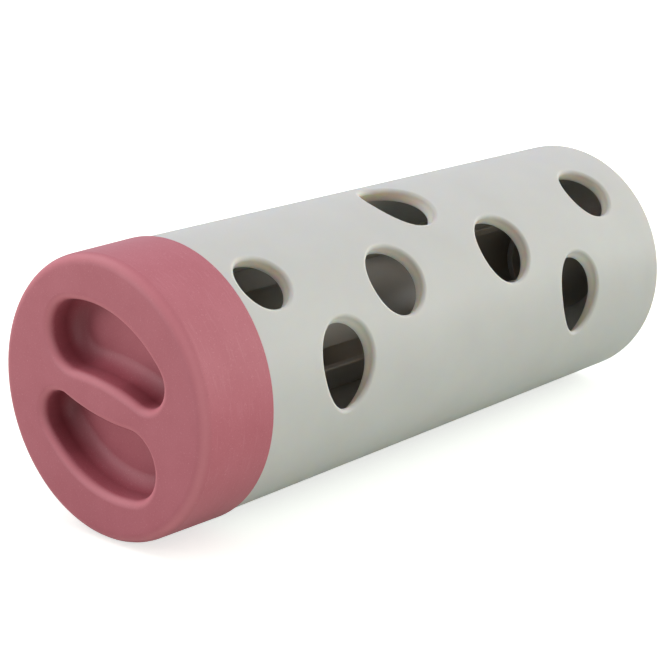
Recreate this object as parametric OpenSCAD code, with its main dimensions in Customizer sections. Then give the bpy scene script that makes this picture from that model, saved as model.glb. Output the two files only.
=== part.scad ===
// Treat roller for cats: a perforated tube with a twist-off cap and a windowed inner tube.
// The roll axis lies along X, with the cap at -X and the closed base at +X. The origin is the middle of the axis.

/* [Outer tube] */
// Length over all, from the cap's face to the base's face
roller_length = 191; // [160:1:240]
// Outer diameter of the tube
tube_diameter = 70; // [66:1:90]
// Wall of the tube
tube_wall = 3.7; // [2.8:0.1:4.2]
// Thickness of the closed base
base_thickness = 3; // [2:0.1:5]
// Round of the base's outer edge
base_edge_round = 0.6; // [0.2:0.1:1.5]
// Length of the neck that the cap pushes over
neck_length = 15; // [10:0.5:17]
// Wall of the neck
neck_wall = 1.5; // [1.2:0.1:1.6]

/* [Treat holes] */
// Turn of the first side of holes, from straight up towards the front
draw_angle = 48; // [0:1:90]

/* [Cap] */
// Length of the cap along the axis
cap_length = 22.2; // [20:0.1:26]
// How far the cap's rim stands proud of the tube
cap_step = 0.58; // [0.2:0.02:1]
// How much smaller in radius the cap is at its face than at its rim
cap_draft = 0.45; // [0.2:0.05:1]
// Round of the cap's face edge
cap_edge_round = 2.8; // [0.5:0.1:3]
// Thickness of the cap's face plate
face_thickness = 2.4; // [2:0.1:3]

/* [Finger recesses] */
// Distance of both ends' centres from the axis
grip_radius = 16.7; // [15:0.1:17]
// Direction of the broad end, from +Y towards +Z
broad_end_angle = 58; // [50:1:66]
// Direction of the narrow end, from +Y towards +Z
narrow_end_angle = 154; // [148:1:160]
// Diameter of the broad end
broad_end_diameter = 17.2; // [15:0.1:18]
// Diameter of the narrow end
narrow_end_diameter = 12.4; // [11:0.1:13]
// Radius of the long outer edge
outer_edge_radius = 31.7; // [30:0.1:40]
// Radius of the waist along the grip bar
waist_radius = 60; // [40:1:120]
// Depth of a recess below the face
recess_depth = 9.6; // [6:0.1:10]
// Round of a recess's rim
recess_rim_round = 2.2; // [1:0.1:2.6]
// Round between a recess's wall and its floor
recess_floor_round = 4; // [2:0.1:4.5]
// Wall of the shell behind a recess
recess_wall = 2; // [1.2:0.1:2.4]

/* [Inner tube] */
// Outer diameter of the inner tube
inner_diameter = 30.8; // [26:0.2:34]
// Wall of the inner tube
inner_wall = 2.2; // [1.6:0.1:3]
// Height of the lengthwise ribs
rib_height = 6; // [3:0.5:8]
// Thickness of the lengthwise ribs
rib_thickness = 2; // [1.2:0.1:3]
// Direction of the first rib, from straight up towards the front
rib_angle = 151; // [145:1:157]
// Distance from the ribs to each end of the inner tube
rib_inset = 12; // [4:1:30]
// Length of a wide window
window_length = 40; // [20:1:45]
// Width of a wide window
window_width = 20; // [10:0.5:21]
// Corner radius of a wide window
window_corner = 4; // [1:0.5:5]
// Distance from the windows to the foot of the inner tube
window_to_foot = 18; // [12:1:30]
// Direction of the first window, from straight up towards the front
window_angle = 33; // [24:1:36]
// Length of a narrow slot
slot_length = 60; // [20:1:65]
// Width of a narrow slot
slot_width = 6; // [4:0.5:8]
// Distance from the slots to the head of the inner tube
slot_to_head = 28; // [15:1:36]
// Direction of the first slot, from straight up towards the front
slot_angle = 95; // [92:1:98]

/* [Fits] */
// Radial clearance between the cap's skirt and the neck
cap_clearance = 0.1; // [0.05:0.01:0.2]
// Radial clearance between the spigots and the inner tube
spigot_clearance = 0.07; // [0.02:0.01:0.1]
// Length of spigot inside the inner tube, at each end
spigot_length = 7; // [4:0.5:8]
// Wall of the spigots
spigot_wall = 2; // [1.4:0.1:3]
// Gap at each end of the inner tube
end_gap = 0.3; // [0.1:0.05:0.6]
// Gap between the cap's rim and the tube's shoulder
shoulder_gap = 0.25; // [0.1:0.05:0.5]

/* [Hidden] */
$fn = 96;

// Treat holes of one side: share of the way from shoulder to base, turn from the draw direction, diameter
treat_holes = [
    [0.0616, -7.4, 14.9],
    [0.1685, 31.2, 18.1],
    [0.3195, 6.2, 18.6],
    [0.4603, -29.8, 18.1],
    [0.5956, 6.2, 19.1],
    [0.7702, 33.8, 17.4],
    [0.8916, -8.6, 16.8]
];

// Overshoot that makes cuts and joins clean
cut = 1;
// Steps of each round corner
round_steps = 6;
// Steps of each arc of a recess's outline
arc_steps = 12;
// Turn of the seam of every turned surface, from straight down
seam_turn = 2;

tube_radius = tube_diameter / 2;
tube_bore = tube_radius - tube_wall;
neck_radius = tube_bore + neck_wall;
shoulder_x = cap_length + shoulder_gap;
neck_x = shoulder_x - neck_length;
base_x = roller_length - base_thickness;

rim_radius = tube_radius + cap_step;
face_radius = rim_radius - cap_draft;
skirt_bore = neck_radius + cap_clearance;

recess_back = recess_depth + recess_wall;
inner_radius = inner_diameter / 2;
inner_bore = inner_radius - inner_wall;
spigot_radius = inner_bore - spigot_clearance;
head_x = recess_back + end_gap;
foot_x = base_x - end_gap;

// Points of an arc about centre c from angle a0 to a1
function arc(c, r, a0, a1, steps) =
    [for (i = [0:steps]) let (a = a0 + (a1 - a0) * i / steps) c + r * [cos(a), sin(a)]];

// Direction of b seen from a
function bearing(a, b) = atan2(b[1] - a[1], b[0] - a[0]);

// Where a circle of radius ra about a meets one of radius rb about b, on the left of the line from a to b
function circles_meet(a, ra, b, rb) =
    let (d = norm(b - a))
    let (along = (d * d + ra * ra - rb * rb) / (2 * d))
    let (aside = sqrt(ra * ra - along * along))
    let (t = (b - a) / d)
    a + along * t + aside * [-t[1], t[0]];

// An angle brought to within a turn after a start angle
function after(start, a) = start + (a - start) - 360 * floor((a - start) / 360);

broad_end = grip_radius * [cos(broad_end_angle), sin(broad_end_angle)];
narrow_end = grip_radius * [cos(narrow_end_angle), sin(narrow_end_angle)];
broad_end_radius = broad_end_diameter / 2;
narrow_end_radius = narrow_end_diameter / 2;
// The outer edge's arc encloses both ends, and the waist's arc touches both from outside
outer_centre = circles_meet(
    broad_end, outer_edge_radius - broad_end_radius, narrow_end, outer_edge_radius - narrow_end_radius);
waist_centre = circles_meet(
    broad_end, waist_radius + broad_end_radius, narrow_end, waist_radius + narrow_end_radius);

// Bean outline in Y and Z, grown by an offset, anticlockwise from the broad end's waist side
function bean(grow) =
    let (b0 = bearing(broad_end, waist_centre))
    let (b1 = after(b0, bearing(outer_centre, broad_end)))
    let (o0 = bearing(outer_centre, broad_end))
    let (o1 = after(o0, bearing(outer_centre, narrow_end)))
    let (n0 = bearing(outer_centre, narrow_end))
    let (n1 = after(n0, bearing(narrow_end, waist_centre)))
    let (w1 = bearing(waist_centre, broad_end))
    let (w0 = after(w1, bearing(waist_centre, narrow_end)))
    concat(
        arc(broad_end, broad_end_radius + grow, b0, b1, arc_steps),
        [for (i = [1:arc_steps - 1]) let (a = o0 + (o1 - o0) * i / arc_steps)
            outer_centre + (outer_edge_radius + grow) * [cos(a), sin(a)]],
        arc(narrow_end, narrow_end_radius + grow, n0, n1, arc_steps),
        [for (i = [1:arc_steps - 1]) let (a = w0 + (w1 - w0) * i / arc_steps)
            waist_centre + (waist_radius - grow) * [cos(a), sin(a)]]);

// Cross-section of a recess: growth of the outline and depth, from above the face down to the floor
recess_section = concat(
    [[recess_rim_round, -cut]],
    [for (i = [0:round_steps]) let (a = 90 * i / round_steps)
        recess_rim_round * [1 - sin(a), 1 - cos(a)]],
    [for (i = [0:round_steps]) let (a = 90 * i / round_steps)
        [-recess_floor_round * (1 - cos(a)), recess_depth - recess_floor_round * (1 - sin(a))]]);

// Turns a profile of radius and station about the roll axis, with the seam beside the line that the roller lies on
module turned(profile) {
    rotate([seam_turn, 0, 0]) rotate([0, 90, 0]) rotate_extrude() polygon(profile);
}

// Places a piece measured from the cap's face in the roller's frame
module from_face() {
    translate([-roller_length / 2, 0, 0]) children();
}

// Repeats a feature on the opposite side of the axis
module both_sides(angle) {
    for (side = [0, 1]) rotate([angle + 180 * side, 0, 0]) children();
}

// Outline of a window with rounded corners, from the origin along X and centred on Y
module window_outline(length, width, corner) {
    translate([corner, -width / 2]) square([length - 2 * corner, width]);
    translate([0, corner - width / 2]) square([length, width - 2 * corner]);
    for (x = [corner, length - corner], y = [-1, 1])
        translate([x, y * (width / 2 - corner)]) circle(corner);
}

// Outline of a slot with half-round ends, from the origin along X and centred on Y
module slot_outline(length, width) {
    translate([width / 2, -width / 2]) square([length - width, width]);
    for (x = [width / 2, length - width / 2]) translate([x, 0]) circle(width / 2);
}

// Cavity of one finger recess, swept down through its cross-section
module recess_cavity() {
    rings = [for (s = recess_section) [for (p = bean(s[0])) [s[1], p[0], p[1]]]];
    count = len(rings[0]);
    last = len(rings) - 1;
    sides = [for (i = [0:last - 1], j = [0:count - 1]) let (k = (j + 1) % count)
        [i * count + j, (i + 1) * count + j, (i + 1) * count + k, i * count + k]];
    top = [[for (j = [0:count - 1]) j]];
    floor_face = [[for (j = [count - 1:-1:0]) last * count + j]];
    polyhedron(points = [for (r = rings) each r], faces = concat(sides, top, floor_face), convexity = 4);
}

// Shell behind one finger recess
module recess_shell() {
    rotate([90, 0, 90]) linear_extrude(recess_back) polygon(bean(recess_wall));
}

module outer_tube() {
    profile = concat(
        [[tube_bore, neck_x], [neck_radius, neck_x], [neck_radius, shoulder_x], [tube_radius, shoulder_x]],
        arc([tube_radius - base_edge_round, roller_length - base_edge_round], base_edge_round, 0, 90, round_steps),
        [[0, roller_length], [0, base_x], [spigot_radius - spigot_wall, base_x],
         [spigot_radius - spigot_wall, foot_x - spigot_length], [spigot_radius, foot_x - spigot_length],
         [spigot_radius, base_x], [tube_bore, base_x]]);
    color("#cbcac5") from_face() difference() {
        turned(profile);
        both_sides(draw_angle)
            for (h = treat_holes)
                translate([shoulder_x + h[0] * (base_x - shoulder_x), -tube_radius * sin(h[1]), 0])
                    cylinder(d = h[2], h = tube_diameter);
    }
}

module inner_tube() {
    reach = inner_radius + rib_height + cut;
    color("#c3c2bc") from_face() difference() {
        union() {
            turned([[inner_bore, head_x], [inner_radius, head_x], [inner_radius, foot_x], [inner_bore, foot_x]]);
            both_sides(rib_angle)
                translate([head_x + rib_inset, -rib_thickness / 2, inner_radius - inner_wall / 2])
                    cube([foot_x - head_x - 2 * rib_inset, rib_thickness, rib_height + inner_wall / 2]);
        }
        both_sides(window_angle)
            translate([foot_x - window_to_foot - window_length, 0, 0])
                linear_extrude(reach) window_outline(window_length, window_width, window_corner);
        both_sides(slot_angle)
            translate([head_x + slot_to_head, 0, 0])
                linear_extrude(reach) slot_outline(slot_length, slot_width);
    }
}

module cap() {
    profile = concat(
        [[0, face_thickness], [0, 0]],
        arc([face_radius - cap_edge_round, cap_edge_round], cap_edge_round, -90, 0, round_steps),
        [[rim_radius, cap_length], [skirt_bore, cap_length], [skirt_bore, face_thickness]]);
    color("#bd757e") from_face() difference() {
        union() {
            turned(profile);
            both_sides(0) recess_shell();
            turned([
                [spigot_radius - spigot_wall, recess_back - recess_wall], [spigot_radius, recess_back - recess_wall],
                [spigot_radius, head_x + spigot_length], [spigot_radius - spigot_wall, head_x + spigot_length]]);
        }
        both_sides(0) recess_cavity();
    }
}

outer_tube();
inner_tube();
cap();
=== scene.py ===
"""Studio scene of the cat treat roller, built on the part's shared frame."""
import math

import bpy
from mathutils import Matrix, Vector
from mathutils.geometry import delaunay_2d_cdt


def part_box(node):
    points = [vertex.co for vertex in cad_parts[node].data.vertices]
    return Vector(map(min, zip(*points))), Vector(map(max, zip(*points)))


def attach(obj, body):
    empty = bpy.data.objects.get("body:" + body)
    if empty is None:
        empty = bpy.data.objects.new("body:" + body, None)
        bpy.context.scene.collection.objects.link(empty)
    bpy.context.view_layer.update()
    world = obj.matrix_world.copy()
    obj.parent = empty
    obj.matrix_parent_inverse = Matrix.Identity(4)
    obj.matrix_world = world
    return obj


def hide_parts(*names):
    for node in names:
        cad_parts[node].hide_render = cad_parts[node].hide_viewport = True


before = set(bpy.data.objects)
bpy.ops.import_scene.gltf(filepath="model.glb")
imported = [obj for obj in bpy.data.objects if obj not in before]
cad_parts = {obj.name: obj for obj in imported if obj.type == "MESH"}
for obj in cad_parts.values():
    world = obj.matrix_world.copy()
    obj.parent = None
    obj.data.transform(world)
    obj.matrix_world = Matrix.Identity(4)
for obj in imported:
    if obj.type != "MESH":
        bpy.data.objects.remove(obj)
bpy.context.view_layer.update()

MM = 0.001
# Corners closer than this share a vertex
WELD = 1e-7
# Turns smaller than this, in radians, count as straight
STRAIGHT = 1e-6
# Mesh lengths: along a round wall, along an opening's straight side, and clear of an opening's edge
WALL_STEP = 5 * MM
SIDE_STEP = 3 * MM
EDGE_CLEAR = 1.2 * MM

# Sizes read from the part's nodes
tube_low, tube_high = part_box("outer_tube")
cap_low, cap_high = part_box("cap")
inner_low, inner_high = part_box("inner_tube")
FACE_X = cap_low.x
RIM_X = cap_high.x
NECK_X = tube_low.x
BASE_X = tube_high.x
HEAD_X = inner_low.x
FOOT_X = inner_high.x

# Sizes of the outer tube
TUBE_R = 35 * MM
TUBE_WALL = 3.7 * MM
TUBE_BORE = TUBE_R - TUBE_WALL
NECK_WALL = 1.5 * MM
NECK_R = TUBE_BORE + NECK_WALL
NECK_ROUND = 0.4 * MM
CAP_GAP = 0.25 * MM
SHOULDER_X = RIM_X + CAP_GAP
SHOULDER_ROUND = 0.3 * MM
BASE_THICK = 3 * MM
BASE_IN = BASE_X - BASE_THICK
BASE_ROUND = 0.6 * MM
BASE_CORNER_ROUND = 1 * MM
HOLE_ROUND = 0.95 * MM
BORE_ROUND = 0.4 * MM
# Direction in which one side's holes are drawn, in degrees from straight up towards the front
DRAW = 48

# Treat holes of one side: share of the way from shoulder to base, turn from the draw direction, mm across
TREAT_HOLES = [
    (0.0616, -7.4, 14.9),
    (0.1685, 31.2, 18.1),
    (0.3195, 6.2, 18.6),
    (0.4603, -29.8, 18.1),
    (0.5956, 6.2, 19.1),
    (0.7702, 33.8, 17.4),
    (0.8916, -8.6, 16.8),
]

# Sizes of the cap
RIM_R = TUBE_R + 0.58 * MM
FACE_R = RIM_R - 0.45 * MM
EDGE_ROUND = 2.8 * MM
FACE_DISC_R = FACE_R - 4 * MM
PLATE = 2.4 * MM
SKIRT_BORE = NECK_R + 0.1 * MM
SKIRT_CORNER_ROUND = 0.8 * MM
PLATE_DISC_R = SKIRT_BORE - 2 * MM
RIM_BORE_ROUND = 0.3 * MM
RIM_ROUND = 0.35 * MM
RECESS_DEPTH = 9.6 * MM
RECESS_RIM = 2.2 * MM
RECESS_FLOOR = 4 * MM
RECESS_WALL = 2 * MM
RECESS_BACK = FACE_X + RECESS_DEPTH + RECESS_WALL
RECESS_BACK_ROUND = 0.6 * MM
RECESS_STEPS = 8
GRIP_R = 16.7 * MM
BROAD_TURN, BROAD_R = 58, 8.6 * MM
NARROW_TURN, NARROW_R = 154, 6.2 * MM
OUTER_EDGE_R = 31.7 * MM
WAIST_R = 60 * MM

# Sizes of the inner tube
INNER_R = 15.4 * MM
INNER_WALL = 2.2 * MM
INNER_BORE = INNER_R - INNER_WALL
INNER_ROUND = 0.4 * MM
RIB_TURN, RIB_INSET, RIB_HEIGHT, RIB_THICK = 151, 12 * MM, 6 * MM, 2 * MM
RIB_SINK, RIB_ROUND = 1.1 * MM, 0.5 * MM
WINDOW_TURN, WINDOW_LENGTH, WINDOW_WIDTH, WINDOW_CORNER = 33, 40 * MM, 20 * MM, 4 * MM
WINDOW_FROM_FOOT = 18 * MM
WINDOW_X = FOOT_X - WINDOW_FROM_FOOT - WINDOW_LENGTH
SLOT_TURN, SLOT_LENGTH, SLOT_WIDTH = 95, 60 * MM, 6 * MM
SLOT_FROM_HEAD = 28 * MM
SLOT_X = HEAD_X + SLOT_FROM_HEAD

# Sizes of the spigots on the base and on the cap, which hold the ends of the inner tube
SPIGOT_GAP = 0.07 * MM
SPIGOT_R = INNER_BORE - SPIGOT_GAP
SPIGOT_WALL = 2 * MM
SPIGOT_IN = SPIGOT_R - SPIGOT_WALL
SPIGOT_LENGTH = 7 * MM
SPIGOT_ROUND = 0.4 * MM
SPIGOT_FOOT_ROUND = 0.2 * MM
SPIGOT_WELL_ROUND = 0.5 * MM
SPIGOT_SINK = 1.4 * MM

# Turns at which every round surface is sampled, from a place that no opening crosses
TURN_STEP = 3
TURN_START = -42
TURNS = [math.radians(TURN_START + TURN_STEP * i) for i in range(360 // TURN_STEP + 1)]


def linear(*levels):
    """Linear colour of three levels from 0 to 255."""
    parts = [v / 255 for v in levels]
    return tuple(p / 12.92 if p < 0.04045 else ((p + 0.055) / 1.055) ** 2.4 for p in parts)


class Shape:
    """Faces with a normal at each corner, where corners at one place share a vertex."""

    def __init__(self):
        self.index = {}
        self.points = []
        self.faces = []
        self.normals = []

    def vertex(self, point):
        key = tuple(round(c / WELD) for c in point)
        if key not in self.index:
            self.index[key] = len(self.points)
            self.points.append(tuple(point))
        return self.index[key]

    def face(self, corners):
        """Adds a face of points and normals, wound so that it faces the way its normals do."""
        ids = []
        normals = []
        for point, normal in corners:
            i = self.vertex(point)
            if i not in ids:
                ids.append(i)
                normals.append(normal)
        if len(ids) < 3:
            return
        flat = [0.0, 0.0, 0.0]
        for i, j in zip(ids, ids[1:] + ids[:1]):
            a, b = self.points[i], self.points[j]
            flat[0] += (a[1] - b[1]) * (a[2] + b[2])
            flat[1] += (a[2] - b[2]) * (a[0] + b[0])
            flat[2] += (a[0] - b[0]) * (a[1] + b[1])
        lean = sum(flat[k] * sum(n[k] for n in normals) for k in range(3))
        if lean < 0:
            ids.reverse()
            normals.reverse()
        self.faces.append(ids)
        self.normals.append(normals)

    def strip(self, ring, other):
        """Joins two closed rings of points and normals."""
        for i in range(len(ring)):
            self.face([ring[i - 1], ring[i], other[i], other[i - 1]])

    def build(self, name, material):
        mesh = bpy.data.meshes.new(name)
        mesh.from_pydata(self.points, [], self.faces)
        mesh.normals_split_custom_set([n for corner_normals in self.normals for n in corner_normals])
        mesh.materials.append(material)
        thing = bpy.data.objects.new(name, mesh)
        bpy.context.scene.collection.objects.link(thing)
        return thing


def around(x, r, turn):
    """Point at a station and radius, turned from +Z towards -Y."""
    return (x, -r * math.sin(turn), r * math.cos(turn))


def placed(v, turn):
    """Vector of station, offset and height on a cut, turned from +Z towards -Y."""
    x, aside, up = v
    return (x, -aside * math.cos(turn) - up * math.sin(turn), -aside * math.sin(turn) + up * math.cos(turn))


def between(a, b, share):
    """Unit vector a given share of the way round from a to b."""
    angle = math.acos(max(-1.0, min(1.0, sum(p * q for p, q in zip(a, b)))))
    if angle < STRAIGHT:
        return a
    wa = math.sin((1 - share) * angle) / math.sin(angle)
    wb = math.sin(share * angle) / math.sin(angle)
    return tuple(wa * p + wb * q for p, q in zip(a, b))


def rounded(corners, closed=False, steps=5):
    """Outline of stations, radii and corner rounds as points with normals, with the solid on its left."""
    outline = []
    count = len(corners)
    for i, (x, r, size) in enumerate(corners):
        bx, br, _ = corners[i - 1]
        ax, ar, _ = corners[(i + 1) % count]
        came = math.atan2(r - br, x - bx)
        goes = math.atan2(ar - r, ax - x)
        if not closed and i == 0:
            came = goes
        if not closed and i == count - 1:
            goes = came
        turn = (goes - came + math.pi) % (2 * math.pi) - math.pi
        if size == 0 or abs(turn) < STRAIGHT:
            for way in (came, goes):
                outline.append((x, r, math.sin(way), -math.cos(way)))
            continue
        side = 1 if turn > 0 else -1
        back = size * math.tan(abs(turn) / 2)
        cx = x - back * math.cos(came) - side * size * math.sin(came)
        cr = r - back * math.sin(came) + side * size * math.cos(came)
        for k in range(steps + 1):
            way = came + turn * k / steps
            nx, nr = math.sin(way), -math.cos(way)
            outline.append((cx + side * size * nx, cr + side * size * nr, nx, nr))
    if closed:
        outline.append(outline[0])
    return outline


def lathe(shape, outline, left_out=()):
    """Turns an outline about the roll axis, without the walls whose two ends lie at a left-out radius."""
    for a, b in zip(outline, outline[1:]):
        if any(abs(a[1] - r) < WELD and abs(b[1] - r) < WELD for r in left_out):
            continue
        for t0, t1 in zip(TURNS, TURNS[1:]):
            corners = []
            for (x, r, nx, nr), t in ((a, t0), (a, t1), (b, t1), (b, t0)):
                corners.append((around(x, r, t), around(nx, nr, t)))
            shape.face(corners)


class RoundCut:
    """Round opening cut straight along one direction."""

    def __init__(self, turn, x, aside, radius, steps=72):
        self.turn = math.radians(turn)
        self.x, self.aside, self.radius = x, aside, radius
        self.outline = []
        for i in range(steps):
            a = 2 * math.pi * i / steps
            c, s = math.cos(a), math.sin(a)
            self.outline.append((x + radius * c, aside + radius * s, c, s))

    def gap(self, x, aside):
        return math.hypot(x - self.x, aside - self.aside) - self.radius


class WindowCut:
    """Opening with rounded corners, cut straight along one direction and centred on it."""

    def __init__(self, turn, x, length, width, corner, steps=10):
        self.turn = math.radians(turn)
        self.x = x + length / 2
        self.corner = corner
        self.half = (length / 2 - corner, width / 2 - corner)
        self.outline = []
        for quarter in range(4):
            sx = 1 if quarter in (0, 3) else -1
            ss = 1 if quarter in (0, 1) else -1
            for i in range(steps + 1):
                a = math.pi / 2 * (quarter + i / steps)
                c, s = math.cos(a), math.sin(a)
                self.add(self.x + sx * self.half[0] + corner * c, ss * self.half[1] + corner * s, c, s)

    def add(self, x, aside, nx, ns):
        """Adds an outline point, and points along the straight side that leads to it."""
        if self.outline:
            px, ps, _, _ = self.outline[-1]
            pieces = int(math.hypot(x - px, aside - ps) / SIDE_STEP)
            for k in range(1, pieces):
                f = k / pieces
                self.outline.append((px + (x - px) * f, ps + (aside - ps) * f, nx, ns))
        self.outline.append((x, aside, nx, ns))

    def gap(self, x, aside):
        dx = abs(x - self.x) - self.half[0]
        ds = abs(aside) - self.half[1]
        outside = math.hypot(max(dx, 0), max(ds, 0))
        return outside + min(max(dx, ds), 0) - self.corner


def is_clear(cuts, x, turn, centre_r, reach):
    """Whether a place on a round wall lies further than a reach from every opening."""
    for cut in cuts:
        off = turn - cut.turn
        if math.cos(off) > 0 and cut.gap(x, centre_r * math.sin(off)) < reach:
            return False
    return True


def triangles(points, loops):
    """Triangles over a plane's points, with every loop of point numbers kept as edges."""
    edges = [(loop[i - 1], loop[i]) for loop in loops for i in range(len(loop))]
    flat = [Vector((p[0] / MM, p[1] / MM)) for p in points]
    _, _, faces, origins, _, _ = delaunay_2d_cdt(flat, edges, [], 0, 1e-5, True)
    return [[origins[i][0] for i in face] for face in faces if all(origins[i] for i in face)]


def perforated(shape, radius, outward, x0, x1, cuts, ball):
    """Round wall with openings, whose edges lie where a ball rolled round each opening touches the wall."""
    centre_r = radius - outward * ball
    columns = max(2, round((x1 - x0) / WALL_STEP))
    stations = [x0 + (x1 - x0) * i / columns for i in range(1, columns)]
    places = [(x1, t) for t in TURNS]
    places += [(x, TURNS[-1]) for x in reversed(stations)]
    places += [(x0, t) for t in reversed(TURNS)]
    places += [(x, TURNS[0]) for x in stations]
    loops = [list(range(len(places)))]
    for cut in cuts:
        loop = []
        for px, ps, nx, ns in cut.outline:
            turn = cut.turn + math.asin((ps + ball * ns) / centre_r)
            turn = (turn - TURNS[0]) % (2 * math.pi) + TURNS[0]
            loop.append(len(places))
            places.append((px + ball * nx, turn))
        loops.append(loop)
    for t in TURNS[1:-1]:
        for x in stations:
            if is_clear(cuts, x, t, centre_r, ball + EDGE_CLEAR):
                places.append((x, t))
    for ids in triangles([(x, radius * t) for x, t in places], loops):
        corners = [places[i] for i in ids]
        mid_x = sum(x for x, _ in corners) / 3
        mid_t = sum(t for _, t in corners) / 3
        if is_clear(cuts, mid_x, mid_t, centre_r, ball):
            shape.face([(around(x, radius, t), around(0, outward, t)) for x, t in corners])


def opening_edge(shape, cut, outer_r, inner_r, outer_ball, inner_ball, steps=5):
    """Wall of an opening through a round wall, with both its edges rounded by a rolled ball."""
    outer_rings = [[] for _ in range(steps + 1)]
    inner_rings = [[] for _ in range(steps + 1)]
    edges = (
        (outer_rings, outer_ball, outer_r - outer_ball, 1),
        (inner_rings, inner_ball, inner_r + inner_ball, -1),
    )
    for px, ps, nx, ns in cut.outline:
        wall = (-nx, -ns, 0.0)
        for rings, ball, centre_r, side in edges:
            aside = ps + ball * ns
            centre = (px + ball * nx, aside, math.sqrt(centre_r ** 2 - aside ** 2))
            skin = (0.0, side * centre[1] / centre_r, side * centre[2] / centre_r)
            for k, ring in enumerate(rings):
                normal = between(skin, wall, k / steps)
                point = tuple(c + ball * n for c, n in zip(centre, normal))
                ring.append((placed(point, cut.turn), placed(normal, cut.turn)))
    rings = outer_rings + inner_rings[::-1]
    for ring, other in zip(rings, rings[1:]):
        shape.strip(ring, other)


def rounded_bar(shape, low, high, size, turn, steps=3):
    """Box with all its edges rounded, in the frame of a cut's direction."""
    mid = [(a + b) / 2 for a, b in zip(low, high)]
    core = [(b - a) / 2 - size for a, b in zip(low, high)]
    bends = [90 / steps * k for k in range(steps + 1)]
    ups = [(start + bend, side) for start, side in ((-90, -1), (0, 1)) for bend in bends]
    rounds = [(quarter * 90 + bend, quarter) for quarter in range(4) for bend in bends]
    signs = ((1, 1), (-1, 1), (-1, -1), (1, -1))
    rings = []
    for up, up_side in ups:
        ring = []
        for a, quarter in rounds:
            e, f = math.radians(up), math.radians(a)
            normal = (math.cos(e) * math.cos(f), math.cos(e) * math.sin(f), math.sin(e))
            side = (*signs[quarter], up_side)
            point = tuple(m + s * c + size * n for m, s, c, n in zip(mid, side, core, normal))
            ring.append((placed(point, turn), placed(normal, turn)))
        rings.append(ring)
    for ring, other in zip(rings, rings[1:]):
        shape.strip(ring, other)
    shape.face(rings[0])
    shape.face(rings[-1])


# Outline of a finger recess


def circles_meet(a, ra, b, rb):
    """Where two circles meet, on the left of the line from the first to the second."""
    d = math.hypot(b[0] - a[0], b[1] - a[1])
    along = (d * d + ra * ra - rb * rb) / (2 * d)
    aside = math.sqrt(ra * ra - along * along)
    ty, tz = (b[0] - a[0]) / d, (b[1] - a[1]) / d
    return (a[0] + along * ty - aside * tz, a[1] + along * tz + aside * ty)


def bearing(a, b):
    return math.atan2(b[1] - a[1], b[0] - a[0])


def after(start, a):
    """An angle brought to within a turn after a start angle."""
    return start + (a - start) % (2 * math.pi)


BROAD = tuple(GRIP_R * f(math.radians(BROAD_TURN)) for f in (math.cos, math.sin))
NARROW = tuple(GRIP_R * f(math.radians(NARROW_TURN)) for f in (math.cos, math.sin))
OUTER_MID = circles_meet(BROAD, OUTER_EDGE_R - BROAD_R, NARROW, OUTER_EDGE_R - NARROW_R)
WAIST_MID = circles_meet(BROAD, WAIST_R + BROAD_R, NARROW, WAIST_R + NARROW_R)


def bean(grow, half_turn, steps=20):
    """Outline in Y and Z of a recess grown by an offset, as points with outward normals."""
    b0 = bearing(BROAD, WAIST_MID)
    b1 = after(b0, bearing(OUTER_MID, BROAD))
    o0 = bearing(OUTER_MID, BROAD)
    o1 = after(o0, bearing(OUTER_MID, NARROW))
    n0 = bearing(OUTER_MID, NARROW)
    n1 = after(n0, bearing(NARROW, WAIST_MID))
    w1 = bearing(WAIST_MID, BROAD)
    w0 = after(w1, bearing(WAIST_MID, NARROW))
    arcs = ((BROAD, BROAD_R, b0, b1, 1), (OUTER_MID, OUTER_EDGE_R, o0, o1, 1),
            (NARROW, NARROW_R, n0, n1, 1), (WAIST_MID, WAIST_R, w0, w1, -1))
    side = -1 if half_turn else 1
    outline = []
    for mid, radius, a0, a1, out in arcs:
        for i in range(steps):
            a = a0 + (a1 - a0) * i / steps
            c, s = math.cos(a), math.sin(a)
            y = mid[0] + (radius + out * grow) * c
            z = mid[1] + (radius + out * grow) * s
            outline.append((side * y, side * z, side * out * c, side * out * s))
    return outline


def inside(outline, y, z):
    """Whether a place lies within a closed outline."""
    within = False
    for (ay, az, _, _), (by, bz, _, _) in zip(outline, outline[1:] + outline[:1]):
        if (az > z) != (bz > z) and y < ay + (z - az) * (by - ay) / (bz - az):
            within = not within
    return within


def flat_face(shape, x, facing, edge, holes, spacing=2.5 * MM):
    """Flat face across the axis, filled from an outer outline to the outlines of its holes."""
    places = [(y, z) for y, z, _, _ in edge]
    loops = [list(range(len(edge)))]
    for hole in holes:
        loops.append(list(range(len(places), len(places) + len(hole))))
        places += [(y, z) for y, z, _, _ in hole]
    fixed = list(places)
    reach = max(math.hypot(y, z) for y, z in fixed)
    count = int(reach / spacing)
    for i in range(-count, count + 1):
        for j in range(-count, count + 1):
            y, z = i * spacing, j * spacing
            if not inside(edge, y, z) or any(inside(hole, y, z) for hole in holes):
                continue
            if min((y - p) ** 2 + (z - q) ** 2 for p, q in fixed) > (0.4 * spacing) ** 2:
                places.append((y, z))
    normal = (facing, 0.0, 0.0)
    for ids in triangles(places, loops):
        y = sum(places[i][0] for i in ids) / 3
        z = sum(places[i][1] for i in ids) / 3
        if inside(edge, y, z) and not any(inside(hole, y, z) for hole in holes):
            shape.face([((x, *places[i]), normal) for i in ids])


def disc_edge(radius):
    """Outline of a disc across the axis, at the turns of every round surface."""
    outline = []
    for t in TURNS[:-1]:
        _, y, z = around(0, radius, t)
        outline.append((y, z, y / radius, z / radius))
    return outline


# Materials


def nodes_of(name):
    """A new material's node tree and its surface shader."""
    material = bpy.data.materials.new(name)
    material.use_nodes = True
    tree = material.node_tree
    return material, tree, tree.nodes["Principled BSDF"]


def own(tree, kind):
    """The object's own coordinates of a kind: the place or the normal of the point that is shaded."""
    return tree.nodes.new("ShaderNodeTexCoord").outputs[kind]


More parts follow.
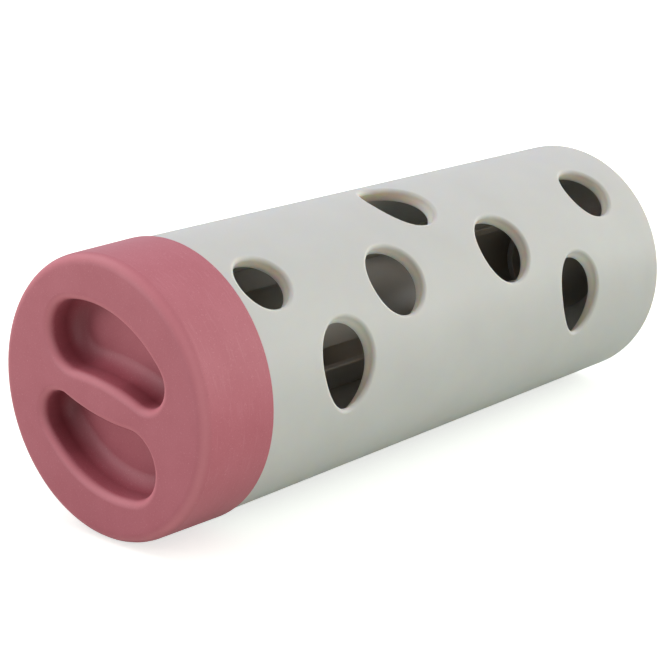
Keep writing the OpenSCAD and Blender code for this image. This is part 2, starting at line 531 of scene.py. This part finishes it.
def split(tree, vector):
    """The three parts of a vector."""
    node = tree.nodes.new("ShaderNodeSeparateXYZ")
    tree.links.new(vector, node.inputs["Vector"])
    return node.outputs["X"], node.outputs["Y"], node.outputs["Z"]


def noise(tree, scale, detail, roughness=0.5, place=None):
    """Noise over the object's own place, or over another one."""
    texture = tree.nodes.new("ShaderNodeTexNoise")
    texture.inputs["Scale"].default_value = scale
    texture.inputs["Detail"].default_value = detail
    texture.inputs["Roughness"].default_value = roughness
    tree.links.new(place or own(tree, "Object"), texture.inputs["Vector"])
    return texture.outputs["Fac"]


def ranged(tree, value, low, high, to_low, to_high, smooth=False):
    """A value mapped from one range to another."""
    node = tree.nodes.new("ShaderNodeMapRange")
    if smooth:
        node.interpolation_type = "SMOOTHSTEP"
    for name, number in (("From Min", low), ("From Max", high), ("To Min", to_low), ("To Max", to_high)):
        node.inputs[name].default_value = number
    tree.links.new(value, node.inputs["Value"])
    return node.outputs["Result"]


def mixed(tree, share, first, second):
    """Two colours mixed by a share. Each is a colour or another node's output."""
    node = tree.nodes.new("ShaderNodeMix")
    node.data_type = "RGBA"
    tree.links.new(share, node.inputs["Factor"])
    for name, colour in (("A", first), ("B", second)):
        socket = next(s for s in node.inputs if s.name == name and s.type == "RGBA")
        if isinstance(colour, tuple):
            socket.default_value = (*colour, 1)
        else:
            tree.links.new(colour, socket)
    return next(s for s in node.outputs if s.type == "RGBA")


def maths(tree, operation, *values):
    """Result of a sum on numbers or other nodes' outputs."""
    node = tree.nodes.new("ShaderNodeMath")
    node.operation = operation
    for socket, value in zip(node.inputs, values):
        if isinstance(value, (int, float)):
            socket.default_value = value
        else:
            tree.links.new(value, socket)
    return node.outputs["Value"]


def vector_maths(tree, operation, first, second):
    """Node of a sum on two vectors. Each is a vector or another node's output."""
    node = tree.nodes.new("ShaderNodeVectorMath")
    node.operation = operation
    for socket, value in zip(node.inputs, (first, second)):
        if isinstance(value, tuple):
            socket.default_value = value
        else:
            tree.links.new(value, socket)
    return node


def sum_of_products(tree, a, b, c, d):
    """The value of a times b plus c times d."""
    return maths(tree, "ADD", maths(tree, "MULTIPLY", a, b), maths(tree, "MULTIPLY", c, d))


def bumped(tree, height, strength, distance, base=None):
    """Normal of a height, on top of another bump's normal."""
    node = tree.nodes.new("ShaderNodeBump")
    node.inputs["Strength"].default_value = strength
    node.inputs["Distance"].default_value = distance
    tree.links.new(height, node.inputs["Height"])
    if base:
        tree.links.new(base, node.inputs["Normal"])
    return node.outputs["Normal"]


# Colours of the plastics, as levels from 0 to 255
TUBE_COLOURS = (206, 206, 203), (202, 202, 199)
# Painted light on the sides of the treat holes, for light let through the pale wall
HOLE_SIDE_LIGHT_COLOUR = (248, 243, 233)
# Darker than the outer tube's plastic, which paints in the shade inside the roller
INNER_COLOURS = (168, 162, 153), (164, 158, 149)
CAP_COLOURS = (189, 105, 117), (183, 98, 110)
SPOT_COLOUR = (210, 142, 150)
PIT_COLOUR = (152, 76, 86)
DUST_COLOUR = (226, 176, 180)
MARK_COLOUR = (206, 138, 148)
# Painted highlight on the rounded edges round the cap's face
EDGE_HIGHLIGHT_COLOUR = (224, 138, 148)
# Painted shade deep in the cap's recesses
SHADE_COLOUR = (104, 26, 36)
PLASTIC_IOR = 1.48
# Light that spreads inside the pale plastic, furthest in red
GLOW_WEIGHT = 1.0
GLOW_SPREAD = (1.0, 0.7, 0.44)
GLOW_REACH = 2.4 * MM
# Mould seam of the outer tube: turn in degrees, half widths where it is full and where it ends, height
SEAM_TURN, SEAM_FULL, SEAM_END, SEAM_HEIGHT = 138, 0.05 * MM, 0.3 * MM, 0.08 * MM
# Marks round the cap's side: how closely they lie along the axis and how soon one fades round it
MARKS_ALONG, MARKS_ROUND = 2200, 5
# How far a wall shades the places around it in the cap's recesses
SHADE_REACH = 16 * MM


def hole_side_light(tree):
    """Share from 0 to 1 of painted light on the sides of the treat holes, standing in for light let through
    the pale wall, least at their outer edge.
    """
    x, y, z = split(tree, own(tree, "Object"))
    _, facing_y, facing_z = split(tree, own(tree, "Normal"))
    radius = maths(tree, "SQRT", sum_of_products(tree, y, y, z, z))
    outward = maths(tree, "DIVIDE", sum_of_products(tree, y, facing_y, z, facing_z), radius)
    share = ranged(tree, maths(tree, "ABSOLUTE", outward), 0.97, 0.85, 0, 1)
    for value, none, full in (
        (radius, TUBE_R - 0.3 * HOLE_ROUND, TUBE_R - 2 * HOLE_ROUND),
        (radius, TUBE_BORE - BORE_ROUND, TUBE_BORE - BORE_ROUND / 2),
        (x, SHOULDER_X + 0.5 * MM, SHOULDER_X + 1 * MM),
        (x, BASE_IN, BASE_IN - 0.5 * MM),
    ):
        share = maths(tree, "MULTIPLY", share, ranged(tree, value, none, full, 0, 1))
    return share


def tube_material(name, colours, outer):
    """Satin, slightly translucent plastic, faintly mottled. The outer tube's has painted light on the sides
    of its holes, and a seam.
    """
    material, tree, shader = nodes_of(name)
    shader.inputs["Roughness"].default_value = 0.42
    shader.inputs["IOR"].default_value = PLASTIC_IOR
    shader.inputs["Subsurface Weight"].default_value = GLOW_WEIGHT
    shader.inputs["Subsurface Radius"].default_value = GLOW_SPREAD
    shader.inputs["Subsurface Scale"].default_value = GLOW_REACH
    cloud = ranged(tree, noise(tree, 55, 3), 0.3, 0.7, 0, 1)
    colour = mixed(tree, cloud, *(linear(*levels) for levels in colours))
    grain = noise(tree, 2600, 2)
    normal = bumped(tree, grain, 0.06, 0.05 * MM)
    if outer:
        _, y, z = split(tree, own(tree, "Object"))
        turn = math.radians(SEAM_TURN)
        off = maths(tree, "ABSOLUTE", sum_of_products(tree, y, math.cos(turn), z, math.sin(turn)))
        line = ranged(tree, off, SEAM_FULL, SEAM_END, 1, 0, smooth=True)
        normal = bumped(tree, line, 0.5, SEAM_HEIGHT, normal)
        # Painted light on the sides of the treat holes
        colour = mixed(tree, hole_side_light(tree), colour, linear(*HOLE_SIDE_LIGHT_COLOUR))
    tree.links.new(colour, shader.inputs["Base Color"])
    tree.links.new(normal, shader.inputs["Normal"])
    return material


def round_marks(tree):
    """Noise drawn out into fine lines round the cap's side."""
    x, y, z = split(tree, own(tree, "Object"))
    turn = maths(tree, "ARCTAN2", y, z)
    spot = tree.nodes.new("ShaderNodeCombineXYZ")
    tree.links.new(maths(tree, "MULTIPLY", x, MARKS_ALONG), spot.inputs["X"])
    tree.links.new(maths(tree, "MULTIPLY", turn, MARKS_ROUND), spot.inputs["Y"])
    lines = noise(tree, 1, 3, place=spot.outputs["Vector"])
    radius = maths(tree, "SQRT", sum_of_products(tree, y, y, z, z))
    beside = ranged(tree, radius, FACE_R - 0.8 * MM, FACE_R, 0, 1)
    return maths(tree, "MULTIPLY", lines, beside)


def edge_highlight(tree):
    """Share from 0 to 1 of a painted highlight on the rounded edges round the cap's face."""
    x, _, _ = split(tree, own(tree, "Object"))
    facing_x, _, _ = split(tree, own(tree, "Normal"))
    square = maths(tree, "MULTIPLY", facing_x, facing_x)
    # A quarter where the edge leans halfway, and nothing on the face and on the side
    lean = maths(tree, "MULTIPLY", square, maths(tree, "SUBTRACT", 1.0, square))
    near_face = ranged(tree, x, FACE_X + EDGE_ROUND, FACE_X + 1.2 * EDGE_ROUND, 4, 0)
    return maths(tree, "MULTIPLY", lean, near_face)


def deep_shade(tree, reach):
    """Share from 0 to 1 of how much a place is closed in by the walls around it."""
    node = tree.nodes.new("ShaderNodeAmbientOcclusion")
    node.inputs["Distance"].default_value = reach
    node.only_local = True
    return ranged(tree, node.outputs["AO"], 0.72, 0.3, 0, 1)


def cap_material():
    """Soft matte pink plastic with speckle, dust, marks on its side, a painted highlight on its rounded
    edges and painted shade deep in its recesses.
    """
    material, tree, shader = nodes_of("cap_plastic")
    shader.inputs["Roughness"].default_value = 0.5
    shader.inputs["IOR"].default_value = PLASTIC_IOR
    shader.inputs["Sheen Weight"].default_value = 0.05
    shader.inputs["Sheen Roughness"].default_value = 0.35
    shader.inputs["Sheen Tint"].default_value = (0.92, 0.86, 1.0, 1)
    cloud = ranged(tree, noise(tree, 90, 4, 0.6), 0.3, 0.7, 0, 1)
    colour = mixed(tree, cloud, *(linear(*levels) for levels in CAP_COLOURS))
    speckle = noise(tree, 2200, 2, 0.6)
    for share, levels in (
        (ranged(tree, speckle, 0.6, 0.75, 0, 0.45), SPOT_COLOUR),
        (ranged(tree, noise(tree, 3100, 2, 0.6), 0.25, 0.4, 0.4, 0), PIT_COLOUR),
        (ranged(tree, noise(tree, 480, 1, 0.3), 0.83, 0.87, 0, 0.5), DUST_COLOUR),
        (ranged(tree, round_marks(tree), 0.56, 0.74, 0, 0.24), MARK_COLOUR),
        # Painted highlight on the rounded edges round the face
        (maths(tree, "MULTIPLY", edge_highlight(tree), 0.6), EDGE_HIGHLIGHT_COLOUR),
        # Painted shade, darkest where the recess walls close a place in
        (maths(tree, "MULTIPLY", deep_shade(tree, SHADE_REACH), 0.85), SHADE_COLOUR),
    ):
        colour = mixed(tree, share, colour, linear(*levels))
    tree.links.new(colour, shader.inputs["Base Color"])
    tree.links.new(bumped(tree, speckle, 0.15, 0.06 * MM), shader.inputs["Normal"])
    return material


tube_plastic = tube_material("tube_plastic", TUBE_COLOURS, True)
inner_plastic = tube_material("inner_plastic", INNER_COLOURS, False)
cap_plastic = cap_material()


# Outer tube

tube_cuts = []
for half in (0, 180):
    for share, turn, diameter in TREAT_HOLES:
        station = SHOULDER_X + share * (BASE_IN - SHOULDER_X)
        aside = TUBE_R * math.sin(math.radians(turn))
        tube_cuts.append(RoundCut(DRAW + half, station, aside, diameter / 2 * MM))

tube_outline = rounded([
    (BASE_X, 0, 0),
    (BASE_X, TUBE_R, BASE_ROUND),
    (SHOULDER_X, TUBE_R, SHOULDER_ROUND),
    (SHOULDER_X, NECK_R, 0),
    (NECK_X, NECK_R, NECK_ROUND),
    (NECK_X, TUBE_BORE, NECK_ROUND),
    (BASE_IN, TUBE_BORE, BASE_CORNER_ROUND),
    (BASE_IN, SPIGOT_R, SPIGOT_FOOT_ROUND),
    (FOOT_X - SPIGOT_LENGTH, SPIGOT_R, SPIGOT_ROUND),
    (FOOT_X - SPIGOT_LENGTH, SPIGOT_IN, SPIGOT_ROUND),
    (BASE_IN, SPIGOT_IN, SPIGOT_WELL_ROUND),
    (BASE_IN, 0, 0),
])
tube = Shape()
lathe(tube, tube_outline, (TUBE_R, TUBE_BORE))
perforated(tube, TUBE_R, 1, SHOULDER_X + SHOULDER_ROUND, BASE_X - BASE_ROUND, tube_cuts, HOLE_ROUND)
perforated(tube, TUBE_BORE, -1, NECK_X + NECK_ROUND, BASE_IN - BASE_CORNER_ROUND, tube_cuts, BORE_ROUND)
for cut in tube_cuts:
    opening_edge(tube, cut, TUBE_R, TUBE_BORE, HOLE_ROUND, BORE_ROUND)
outer_tube = tube.build("tube_shell", tube_plastic)

# Inner tube with its ribs

inner_cuts = []
for half in (0, 180):
    inner_cuts.append(WindowCut(WINDOW_TURN + half, WINDOW_X, WINDOW_LENGTH, WINDOW_WIDTH, WINDOW_CORNER))
    inner_cuts.append(WindowCut(SLOT_TURN + half, SLOT_X, SLOT_LENGTH, SLOT_WIDTH, SLOT_WIDTH / 2))

inner = Shape()
inner_outline = rounded([
    (HEAD_X, INNER_BORE, INNER_ROUND),
    (FOOT_X, INNER_BORE, INNER_ROUND),
    (FOOT_X, INNER_R, INNER_ROUND),
    (HEAD_X, INNER_R, INNER_ROUND),
], closed=True)
lathe(inner, inner_outline, (INNER_R, INNER_BORE))
for radius, outward in ((INNER_R, 1), (INNER_BORE, -1)):
    perforated(inner, radius, outward, HEAD_X + INNER_ROUND, FOOT_X - INNER_ROUND, inner_cuts, INNER_ROUND)
for cut in inner_cuts:
    opening_edge(inner, cut, INNER_R, INNER_BORE, INNER_ROUND, INNER_ROUND)
inner_tube = inner.build("inner_wall", inner_plastic)

ribs = []
for number, half in enumerate((0, 180), 1):
    rib = Shape()
    low = (HEAD_X + RIB_INSET, -RIB_THICK / 2, INNER_R - RIB_SINK)
    high = (FOOT_X - RIB_INSET, RIB_THICK / 2, INNER_R + RIB_HEIGHT)
    rounded_bar(rib, low, high, RIB_ROUND, math.radians(RIB_TURN + half))
    ribs.append(rib.build(f"inner_rib_{number}", inner_plastic))

# Cap

cap = Shape()
cap_outline = rounded([
    (FACE_X + PLATE, PLATE_DISC_R, 0),
    (FACE_X + PLATE, SKIRT_BORE, SKIRT_CORNER_ROUND),
    (RIM_X, SKIRT_BORE, RIM_BORE_ROUND),
    (RIM_X, RIM_R, RIM_ROUND),
    (FACE_X, FACE_R, EDGE_ROUND),
    (FACE_X, FACE_DISC_R, 0),
], steps=7)
lathe(cap, cap_outline)
for x, facing, radius, grow in (
    (FACE_X, -1, FACE_DISC_R, RECESS_RIM),
    (FACE_X + PLATE, 1, PLATE_DISC_R, RECESS_WALL),
):
    flat_face(cap, x, facing, disc_edge(radius), [bean(grow, half) for half in (False, True)])


def recess_ring(grow, x, half, lean, facing):
    """Ring of a recess's wall, whose normals lean from across the axis towards -X or, behind it, +X."""
    across, along = facing * math.cos(lean), facing * math.sin(lean)
    return [((x, y, z), (along, across * ny, across * nz)) for y, z, ny, nz in bean(grow, half)]


def recess_wall(rings, floor_x, floor_grow, half, facing):
    """Joins a recess's rings and closes them with a floor."""
    for ring, other in zip(rings, rings[1:]):
        cap.strip(ring, other)
    flat_face(cap, floor_x, facing, bean(floor_grow, half), [])


bends = [math.pi / 2 * i / RECESS_STEPS for i in range(RECESS_STEPS + 1)]
for half in (False, True):
    rings = []
    for a in bends:
        grow = RECESS_RIM * (1 - math.sin(a))
        x = FACE_X + RECESS_RIM * (1 - math.cos(a))
        rings.append(recess_ring(grow, x, half, math.pi / 2 - a, -1))
    for a in bends:
        grow = -RECESS_FLOOR * (1 - math.cos(a))
        x = FACE_X + RECESS_DEPTH - RECESS_FLOOR * (1 - math.sin(a))
        rings.append(recess_ring(grow, x, half, a, -1))
    recess_wall(rings, FACE_X + RECESS_DEPTH, -RECESS_FLOOR, half, -1)
    rings = [recess_ring(RECESS_WALL, FACE_X + PLATE, half, 0, 1)]
    for a in bends:
        grow = RECESS_WALL - RECESS_BACK_ROUND * (1 - math.cos(a))
        x = RECESS_BACK - RECESS_BACK_ROUND * (1 - math.sin(a))
        rings.append(recess_ring(grow, x, half, a, 1))
    recess_wall(rings, RECESS_BACK, RECESS_WALL - RECESS_BACK_ROUND, half, 1)
cap_shell = cap.build("cap_shell", cap_plastic)

spigot = Shape()
lathe(spigot, rounded([
    (RECESS_BACK - SPIGOT_SINK, SPIGOT_IN, 0),
    (HEAD_X + SPIGOT_LENGTH, SPIGOT_IN, SPIGOT_ROUND),
    (HEAD_X + SPIGOT_LENGTH, SPIGOT_R, SPIGOT_ROUND),
    (RECESS_BACK - SPIGOT_SINK, SPIGOT_R, 0),
], closed=True))
cap_spigot = spigot.build("cap_spigot", cap_plastic)

for node, slot, things in (("outer_tube", "tube_plastic", (outer_tube,)),
                           ("inner_tube", "inner_plastic", (inner_tube, *ribs)),
                           ("cap", "cap_plastic", (cap_shell, cap_spigot))):
    for thing in things:
        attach(thing, node)
        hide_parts(node)

# Floor

FLOOR_REACH = 12
FLOOR_Z = -RIM_R
FLOOR_COLOUR = (0.67, 0.71, 0.65, 1)
# Light that the camera alone sees on the floor, near the object and far from it
FLOOR_LIFT, FLOOR_FAR_LIFT = 0.66, 1
LIFT_FROM, LIFT_TO = 0.22, 0.6


def floor_material():
    """Plain pale floor that the camera sees as white where no shadow falls."""
    material = bpy.data.materials.new("floor_white")
    material.use_nodes = True
    tree = material.node_tree
    tree.nodes.clear()
    diffuse = tree.nodes.new("ShaderNodeBsdfDiffuse")
    diffuse.inputs["Color"].default_value = FLOOR_COLOUR
    glow = tree.nodes.new("ShaderNodeEmission")
    path = tree.nodes.new("ShaderNodeLightPath")
    away = tree.nodes.new("ShaderNodeVectorMath")
    away.operation = "LENGTH"
    tree.links.new(own(tree, "Object"), away.inputs[0])
    lift = ranged(tree, away.outputs["Value"], LIFT_FROM, LIFT_TO, FLOOR_LIFT, FLOOR_FAR_LIFT, smooth=True)
    tree.links.new(maths(tree, "MULTIPLY", path.outputs["Is Camera Ray"], lift), glow.inputs["Strength"])
    both = tree.nodes.new("ShaderNodeAddShader")
    tree.links.new(diffuse.outputs["BSDF"], both.inputs[0])
    tree.links.new(glow.outputs["Emission"], both.inputs[1])
    output = tree.nodes.new("ShaderNodeOutputMaterial")
    tree.links.new(both.outputs["Shader"], output.inputs["Surface"])
    return material


floor_mesh = bpy.data.meshes.new("floor")
floor_signs = ((-1, -1), (1, -1), (1, 1), (-1, 1))
floor_corners = [(sx * FLOOR_REACH, sy * FLOOR_REACH, FLOOR_Z) for sx, sy in floor_signs]
floor_mesh.from_pydata(floor_corners, [], [(0, 1, 2, 3)])
floor_mesh.materials.append(floor_material())
floor = bpy.data.objects.new("floor", floor_mesh)
bpy.context.scene.collection.objects.link(floor)

# Light

# Soft light from the top, the right and the back of the studio: its middle, strength and tint
SKY_LOBES = (
    ((0, 0, 1), 0.72, (0.98, 0.99, 1.03)),
    ((0.72, -0.69, 0), 2.5, (1.0, 1.0, 0.95)),
    ((0.76, 0.65, 0), 0.76, (0.97, 0.98, 1.06)),
)
WHITE = (1.0, 1.0, 1.0)
# Softboxes by name: place, size and power
SOFTBOXES = {
    "key": ((-0.35, 0.75, 0.8), 0.6, 3.3),
    "left_fill": ((-0.85, 0.5, 0.22), 0.6, 3.7),
    "front_gloss": ((-0.65, -0.65, 0.33), 0.8, 2),
}
# Faint light that the pale walls let through, at shares of the inner tube's length
INSIDE_SHARES = (0.25, 0.5, 0.75)
INSIDE_POWER, INSIDE_SIZE, INSIDE_COLOUR = 0.0005, 3 * MM, (1.0, 0.9, 0.8)

scene = bpy.context.scene
world = bpy.data.worlds.new("studio")
scene.world = world
world.use_nodes = True
sky_tree = world.node_tree
way = own(sky_tree, "Generated")
glow = (0.0, 0.0, 0.0)
for middle, strength, tint in SKY_LOBES:
    facing = vector_maths(sky_tree, "DOT_PRODUCT", way, middle).outputs["Value"]
    lobe = maths(sky_tree, "POWER", maths(sky_tree, "MAXIMUM", facing, 0.0), 2.0)
    colour = tuple(strength * c for c in tint)
    added = vector_maths(sky_tree, "MULTIPLY", colour, lobe).outputs["Vector"]
    glow = vector_maths(sky_tree, "ADD", added, glow).outputs["Vector"]
path = sky_tree.nodes.new("ShaderNodeLightPath")
seen = mixed(sky_tree, path.outputs["Is Camera Ray"], glow, WHITE)
sky_tree.links.new(seen, sky_tree.nodes["Background"].inputs["Color"])


def softbox(name, place, size, power):
    """Square soft light at a place, turned to the middle of the roller."""
    light = bpy.data.lights.new(name, "AREA")
    light.shape = "SQUARE"
    light.size = size
    light.energy = power
    thing = bpy.data.objects.new(name, light)
    thing.location = place
    thing.rotation_mode = "QUATERNION"
    thing.rotation_quaternion = Vector(place).to_track_quat("Z", "Y")
    scene.collection.objects.link(thing)
    return thing


softboxes = {name: softbox(name, *values) for name, values in SOFTBOXES.items()}
# This one only shines on what faces the front
softboxes["front_gloss"].visible_diffuse = False
for number, share in enumerate(INSIDE_SHARES, 1):
    glimmer = bpy.data.lights.new(f"inside_{number}", "POINT")
    glimmer.energy = INSIDE_POWER
    glimmer.shadow_soft_size = INSIDE_SIZE
    glimmer.color = INSIDE_COLOUR
    thing = bpy.data.objects.new(f"inside_{number}", glimmer)
    thing.location = (HEAD_X + share * (FOOT_X - HEAD_X), 0, 0)
    thing.visible_camera = False
    thing.visible_glossy = False
    scene.collection.objects.link(thing)

# Camera

# Place, direction, and lens with its sensor width in mm
CAMERA_PLACE = Vector((-359.33, -304.30, 131.29)) * MM
VIEW_TURN, VIEW_LIFT = math.radians(-48.7494), math.radians(16.0175)
LENS, SENSOR = 96.79, 36
CLIP_START, CLIP_END = 0.01, 60
camera_data = bpy.data.cameras.new("camera")
camera_data.sensor_width = SENSOR
camera_data.lens = LENS
camera_data.clip_start = CLIP_START
camera_data.clip_end = CLIP_END
camera = bpy.data.objects.new("camera", camera_data)
camera.location = CAMERA_PLACE
camera.rotation_mode = "QUATERNION"
level = math.cos(VIEW_LIFT)
back = Vector((math.sin(VIEW_TURN) * level, -math.cos(VIEW_TURN) * level, math.sin(VIEW_LIFT)))
camera.rotation_quaternion = back.to_track_quat("Z", "Y")
scene.collection.objects.link(camera)
scene.camera = camera
scene.view_settings.view_transform = "Standard"
